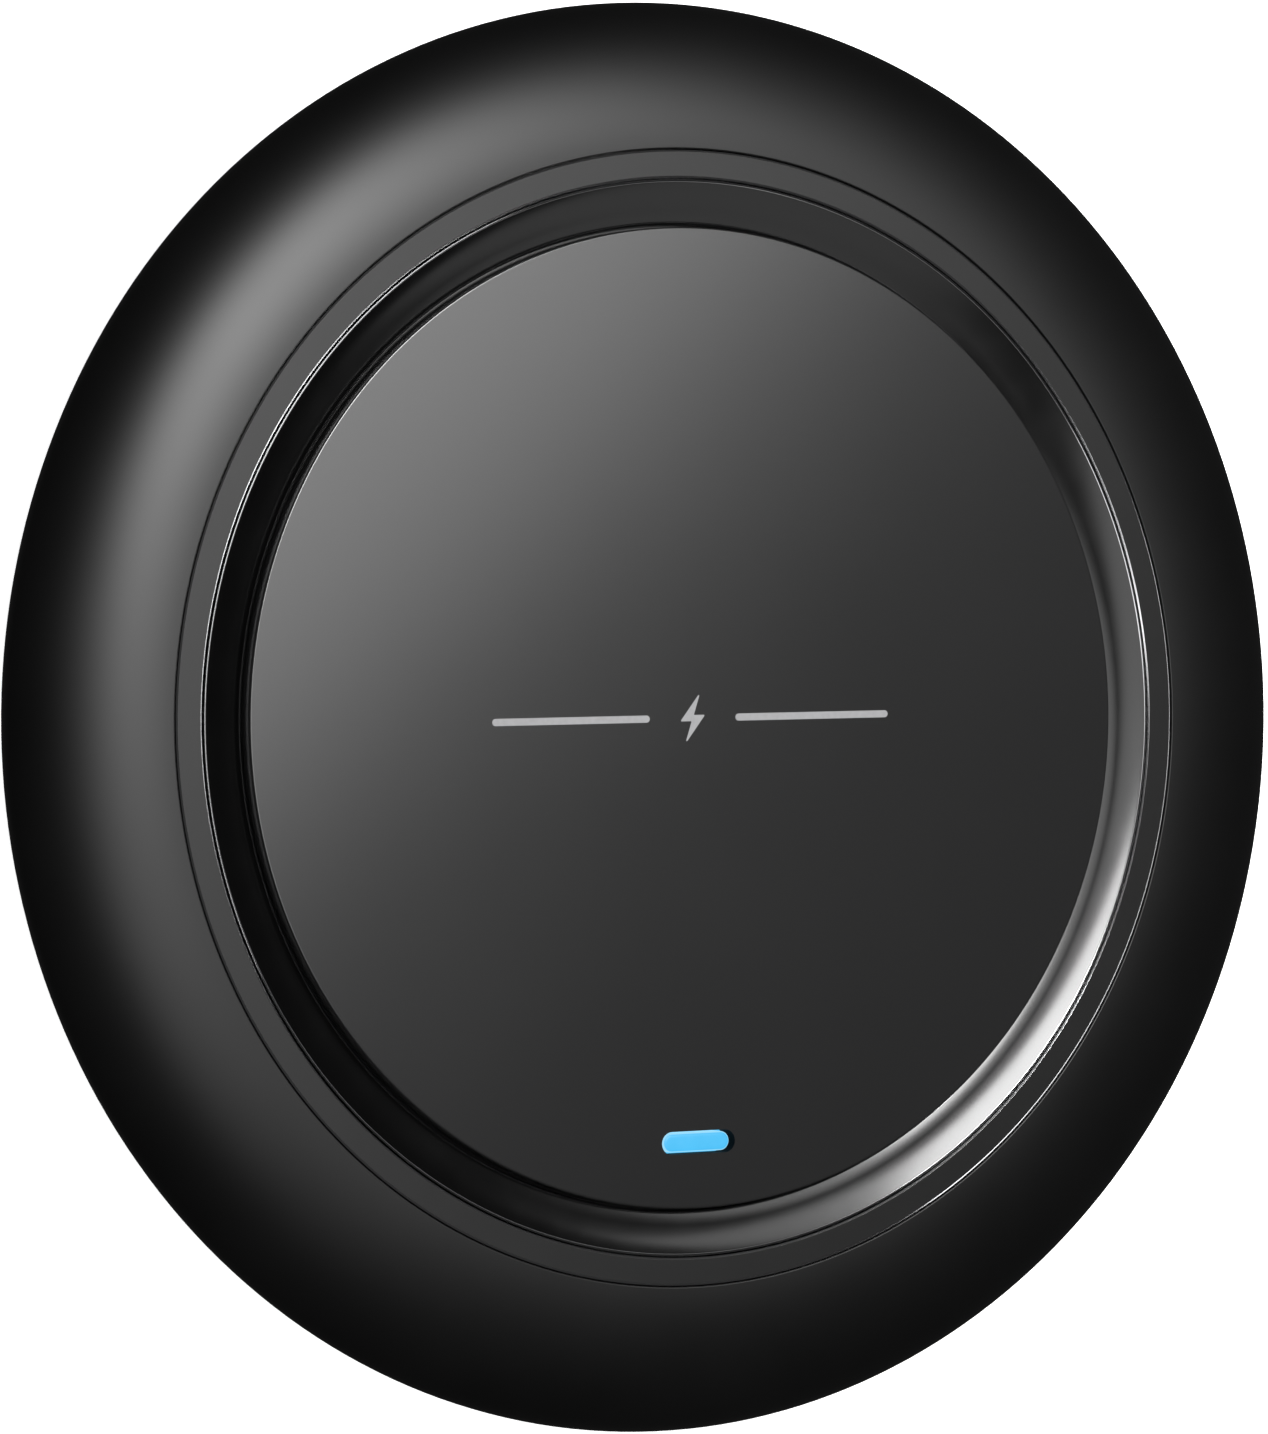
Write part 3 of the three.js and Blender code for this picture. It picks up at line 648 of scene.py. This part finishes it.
def channel_ring():
    """A glossy ring: a fine lip, then a dished face that falls inwards and rolls into the plate's gap."""
    lip = 0.04 * MM
    bevel = 0.1 * MM
    roll = 0.06 * MM
    low = CHANNEL_LOW.z
    outer_r = TRIM_INNER_R - CHANNEL_SEAM
    inner_r = PLATE_R + 0.2 * MM
    brink = fall((outer_r - lip, DECK_Z), outer_r - lip - bevel, 33, 24, 4)
    hollow = fall(brink[-1], CHANNEL_MID_R, 19, 9, 24)
    swell = fall(hollow[-1], inner_r + roll + bevel, 9, 14, 12)
    ledge = fall(swell[-1], inner_r + roll, 26, 30, 4)
    rolled = fall(ledge[-1], inner_r, 33, 85, 6)
    profile = [(inner_r, low), (outer_r, low)]
    profile += arc((outer_r - lip, DECK_Z - lip), lip, lip, 0, 90, 4)
    profile += brink[1:] + hollow[1:] + swell[1:] + ledge[1:] + rolled[1:]
    obj = new_piece("channel_ring_skin", lathe(profile))
    return finish_piece(obj, piano_black(), "channel", "channel_ring")


def charging_plate():
    """A flat disc with a rounded rim, and a slot that the window shows in, whose walls are painted near
    black and dull as painted shade of the recess.
    """
    top = PLATE_HIGH.z
    beyond = 1 * MM
    ring_shares = (0.97, 0.9, 0.75, 0.5, 0.25)  # rings of points on the flat, as shares of its radius
    profile = [(0, PLATE_LOW.z), (PLATE_R, PLATE_LOW.z)]
    profile += arc((PLATE_R - EDGE, top - EDGE), EDGE, EDGE, 0, 90, 6)
    profile += [(PLATE_R - EDGE - HOLD, top)]
    profile += [(PLATE_R * share, top) for share in ring_shares]
    profile += [(0, top)]
    obj = new_piece("charging_plate_skin", lathe(profile))
    window = (PIPE_LOW + PIPE_HIGH) / 2
    slot = [(x, y + window.y) for x, y in stadium(*WINDOW_SLOT)]
    cut(obj, prism(slot, PLATE_LOW.z - beyond, top + beyond))
    finish_piece(obj, satin_plate(), "plate", "charging_plate")
    # Painted shade: the slot's walls are far darker and duller than the plate, so the recess round the
    # window reads black.
    obj.data.materials.append(moulded("painted_shade_slot_wall", grey(0.001), grey(0.002), 0.7, specular=0.05))
    for face in obj.data.polygons:
        upright = abs(face.normal.z) < 0.5
        if upright and face.center.xy.length < PLATE_R - beyond:
            face.material_index = 1


def foot_ring():
    """A rubber ring with shallow grooves round its underside."""
    low = FOOT_LOW.z
    ease = 0.3 * MM
    groove = 0.12 * MM
    ribs = 7
    width = FOOT_R - FOOT_INNER_R - 2 * ease
    pitch = width / ribs
    profile = arc((FOOT_INNER_R + ease, low + ease), ease, ease, 180, 270, 4)
    for i in range(1, ribs):
        x = FOOT_INNER_R + ease + i * pitch
        profile += [(x - groove, low), (x, low + groove), (x + groove, low)]
    profile += arc((FOOT_R - ease, low + ease), ease, ease, 270, 360, 4)
    profile += [(FOOT_R, FOOT_HIGH.z), (FOOT_INNER_R, FOOT_HIGH.z)]
    obj = new_piece("foot_ring_skin", lathe(profile))
    return finish_piece(obj, rubber(), "foot", "foot_ring")


def rating_label():
    """A blank film with a fine line let in round its border."""
    r = LABEL_HIGH.x
    low = LABEL_LOW.z
    ease = 0.04 * MM
    line = 0.25 * MM
    border = r - 1.2 * MM
    profile = [
        (0, low),
        (border - line, low),
        (border - line, low + ease),
        (border, low + ease),
        (border, low),
        (r - ease, low),
        (r, low + ease),
        (r, LABEL_HIGH.z),
        (0, LABEL_HIGH.z),
    ]
    obj = new_piece("rating_label_film", lathe(profile))
    return finish_piece(obj, film(), "label", "rating_label")


# ---- The status window and the printing ----

def status_window():
    """The light pipe: a stem with a softly domed face, and the flange under the plate."""
    centre = (PIPE_LOW + PIPE_HIGH) / 2
    flange = (PIPE_HIGH.x - PIPE_LOW.x, PIPE_HIGH.y - PIPE_LOW.y)
    flange_low = PIPE_LOW.z + 2.8 * MM
    flange_top = flange_low + 0.8 * MM
    top = PLATE_HIGH.z - 0.3 * MM
    dome = 0.12 * MM
    # The dome's steps: how far below its top, in domes, and how far in from the stem's side, in mm
    dome_steps = ((2, 0), (1, 0.01), (0.5, 0.06), (0.15, 0.15), (0.05, 0.3), (0, 0.5))
    levels = [
        (PIPE_LOW.z, WINDOW_STEM, 0),
        (flange_low, WINDOW_STEM, 0),
        (flange_low, flange, 0),
        (flange_top, flange, 0),
        (flange_top, WINDOW_STEM, 0),
    ]
    levels += [(top - share * dome, WINDOW_STEM, inset * MM) for share, inset in dome_steps]
    sections = []
    for z, (long, wide), inset in levels:
        outline = stadium(long - 2 * inset, wide - 2 * inset)
        sections.append([(x, y + centre.y, z) for x, y in outline])
    obj = new_piece("status_window", loft(sections))
    return finish_piece(obj, lit_window(), "window", "light_pipe")


def bolt(material):
    """A printed bolt, the same from either end, whose corners are shares of half its height."""
    half = (BOLT_HIGH.y - BOLT_LOW.y) / 2
    corner_r = 0.05 * MM
    corners = [(0.35, 1), (-0.55, -0.12), (-0.05, -0.12), (-0.35, -1), (0.55, 0.12), (0.05, 0.12)]
    outline = rounded([(x * half, y * half, corner_r) for x, y in corners], 3)
    obj = new_piece("printed_bolt", prism(outline, BOLT_LOW.z, BOLT_HIGH.z + PROUD), smooth=False)
    return finish_piece(obj, material, "print", "print_bolt")


def line(side, name, node, material):
    """The printed line on one side of the bolt: 1 is right, -1 left."""
    long = LINE_HIGH.x - LINE_LOW.x
    wide = LINE_HIGH.y - LINE_LOW.y
    middle = side * (LINE_HIGH.x + LINE_LOW.x) / 2
    outline = [(x + middle, y) for x, y in stadium(long, wide)]
    obj = new_piece(name, prism(outline, LINE_LOW.z, LINE_HIGH.z + PROUD), smooth=False)
    return finish_piece(obj, material, "print", node)


# ---- The socket ----

def usb_can(material):
    """The socket's folded can: sloping lower corners, and lips that turn out at the mouth."""
    wall = 0.3 * MM
    lip = 0.12 * MM
    corner = 0.45 * MM
    slope_x = 0.76  # the lower corners slope between these shares of half the width
    slope_z = -0.1  # and of half the height
    back = SOCKET_LOW.y
    mouth = SOCKET_HIGH.y
    middle = (SOCKET_LOW + SOCKET_HIGH) / 2
    reaches = (
        (back, 0),
        (mouth - 0.5 * MM, 0),
        (mouth - 0.2 * MM, 0.2 * lip),
        (mouth, lip),
        (mouth, lip - wall),
        (mouth - 0.25 * MM, -wall),
        (back, -wall),
    )
    sections = []
    for y, grow in reaches:
        x = SOCKET_HIGH.x + grow
        z = SOCKET_HIGH.z - middle.z + grow
        r = corner + grow
        corners = [
            (-slope_x * x, -z, r),
            (slope_x * x, -z, r),
            (x, slope_z * z, r),
            (x, z, r),
            (-x, z, r),
            (-x, slope_z * z, r),
        ]
        sections.append([(px, y, middle.z + pz) for px, pz in rounded(corners, 6)])
    obj = new_piece("usb_can", loft(sections, hollow=True))
    return finish_piece(obj, material, "tin", "usb_shell")


# ---- Carried-over CAD nodes ----

def dress_inner_pieces():
    """Gives each CAD node that stays its material, by the start of its name."""
    steel = plated("zinc_steel", (0.5, 0.51, 0.52), (0.62, 0.63, 0.64), 0.28, 0.42)
    gold = plated("gold_plate", (0.78, 0.58, 0.22), (0.9, 0.7, 0.33), 0.15, 0.28)
    copper = plated("copper_litz", (0.45, 0.2, 0.1), (0.72, 0.36, 0.18), 0.3, 0.45)
    chip = moulded("epoxy", grey(0.012), grey(0.02), 0.5)
    dark = moulded("ferrite", grey(0.02), grey(0.035), 0.65)
    green = moulded("board", (0.008, 0.07, 0.03), (0.012, 0.1, 0.045), 0.4, grain=1.5)
    tan = moulded("ceramic", (0.3, 0.2, 0.11), (0.42, 0.3, 0.17), 0.55)
    cream = moulded("tape", (0.6, 0.55, 0.42), (0.7, 0.65, 0.52), 0.7)
    foam = moulded("foam", grey(0.025), grey(0.05), 0.9, grain=2.5, height=0.08 * MM)
    lamp = moulded("lamp", (0.75, 0.74, 0.68), (0.82, 0.81, 0.76), 0.25)
    nylon = moulded("nylon", grey(0.008), grey(0.014), 0.5)
    by_prefix = {
        "case_screw": steel,
        "board_screw": steel,
        "usb_contact": gold,
        "usb_tongue": nylon,
        "transmit_coil": copper,
        "ferrite_shield": dark,
        "input_inductor": dark,
        "coil_tape": cream,
        "thermistor": chip,
        "controller_ic": chip,
        "mosfet": chip,
        "regulator": chip,
        "circuit_board": green,
        "resonant_capacitor": tan,
        "input_capacitor": tan,
        "light_gasket": foam,
        "status_led": lamp,
    }
    for name, obj in frame["nodes"].items():
        for prefix, material in by_prefix.items():
            if name.startswith(prefix):
                dress(obj, material)


# ---- Stage ----

def floor():
    """A pale floor that glows enough to hide nearly all of the pad's shadow."""
    bm = bmesh.new()
    bmesh.ops.create_grid(bm, x_segments=2, y_segments=2, size=6)
    obj = new_piece("floor", bm)
    surface = Surface("floor", (0.93, 0.93, 0.93), 0.9, specular=0.0)
    surface.shader.inputs["Emission Color"].default_value = (1, 1, 1, 1)
    surface.shader.inputs["Emission Strength"].default_value = 0.7
    dress(obj, surface.material)
    obj.visible_glossy = False
    obj.visible_diffuse = False


def world():
    """A white room, whose reflection in the black surfaces is kept faint."""
    made = bpy.data.worlds.new("studio")
    made.use_nodes = True
    nodes = made.node_tree.nodes
    links = made.node_tree.links
    background = nodes["Background"]
    background.inputs["Color"].default_value = (1, 1, 1, 1)
    reflected = 0.04
    ramp = nodes.new("ShaderNodeMapRange")
    ramp.inputs["To Min"].default_value = 1.0
    ramp.inputs["To Max"].default_value = reflected
    links.new(nodes.new("ShaderNodeLightPath").outputs["Is Glossy Ray"], ramp.inputs["Value"])
    links.new(ramp.outputs["Result"], background.inputs["Strength"])
    bpy.context.scene.world = made


def softbox(name, azimuth, elevation, distance, turn, wide, high, radiance, lit=()):
    """An area light that faces the pad from a direction in degrees, turned about its own axis.

    Azimuth 0 is along +X and 90 along +Y. The light falls on everything or, with lit, on a few pieces
    only, which are then also the only ones that cast a shadow in it.
    """
    data = bpy.data.lights.new(name, "AREA")
    data.shape = "RECTANGLE"
    data.size = wide
    data.size_y = high
    data.energy = radiance * math.pi * wide * high
    azimuth = math.radians(azimuth)
    elevation = math.radians(elevation)
    away = Vector((
        math.cos(elevation) * math.cos(azimuth),
        math.cos(elevation) * math.sin(azimuth),
        math.sin(elevation),
    ))
    across = Vector((-math.sin(azimuth), math.cos(azimuth), 0))
    faced = Matrix((across, away.cross(across), away)).transposed().to_4x4()
    obj = bpy.data.objects.new(name, data)
    obj.matrix_world = (
        Matrix.Translation(away * distance)
        @ faced
        @ Matrix.Rotation(math.radians(turn), 4, "Z")
    )
    bpy.context.scene.collection.objects.link(obj)
    obj.visible_camera = False
    if lit:
        only = bpy.data.collections.new(name + "_only")
        for piece in lit:
            only.objects.link(piece)
        obj.light_linking.receiver_collection = only
        obj.light_linking.blocker_collection = only


def lights(trim, channel):
    """Two softboxes light everything, and two weak ones light only the rings."""
    softbox("overhead", azimuth=21, elevation=82, distance=0.25, turn=112,
            wide=0.248, high=0.092, radiance=2.5)
    softbox("key", azimuth=69, elevation=71, distance=0.565, turn=131,
            wide=0.193, high=0.219, radiance=20.3)
    softbox("edge", azimuth=-14, elevation=9, distance=0.4, turn=-15,
            wide=0.37, high=0.08, radiance=3, lit=(trim, channel))
    softbox("card", azimuth=-36, elevation=57, distance=0.4, turn=0,
            wide=0.19, high=0.15, radiance=0.85, lit=(channel,))


def camera():
    """Looks down on the pad from its left, through a long lens."""
    tilt = math.radians(28.55)  # off the vertical
    swing = -0.033  # about the vertical, in radians
    roll = -0.014  # about the line of sight
    distance = 525.3 * MM
    right_shift = 3.982 * MM  # how far right and down of the picture's middle the pad stands
    down_shift = 0.073 * MM
    toward = Vector((-math.sin(tilt) * math.cos(swing), -math.sin(tilt) * math.sin(swing), math.cos(tilt)))
    right = (-toward).cross(Vector((0, 1, 0))).normalized()
    up = right.cross(-toward)
    right, up = (
        right * math.cos(roll) + up * math.sin(roll),
        up * math.cos(roll) - right * math.sin(roll),
    )
    target = Vector((0, 0, DECK_Z))
    place = target + toward * distance - right * right_shift + up * down_shift
    data = bpy.data.cameras.new("camera")
    data.sensor_width = 36
    data.lens = 189.74
    data.clip_start = 0.01
    data.clip_end = 50
    obj = bpy.data.objects.new("camera", data)
    turned = Matrix((right, up, toward)).transposed().to_4x4()
    obj.matrix_world = Matrix.Translation(place) @ turned
    bpy.context.scene.collection.objects.link(obj)
    bpy.context.scene.camera = obj


camera()
shell_finish = soft_shell()
top_shell(shell_finish)
bottom_shell(shell_finish)
trim = trim_ring()
channel = channel_ring()
charging_plate()
foot_ring()
rating_label()
status_window()
print_ink = ink()
bolt(print_ink)
line(1, "printed_line_right", "print_line_right", print_ink)
line(-1, "printed_line_left", "print_line_left", print_ink)
usb_can(plated("tin_plate", (0.6, 0.61, 0.63), (0.75, 0.76, 0.77), 0.18, 0.32))
dress_inner_pieces()
floor()
world()
lights(trim, channel)
bpy.context.scene.view_settings.view_transform = "Standard"

bpy.context.view_layer.update()
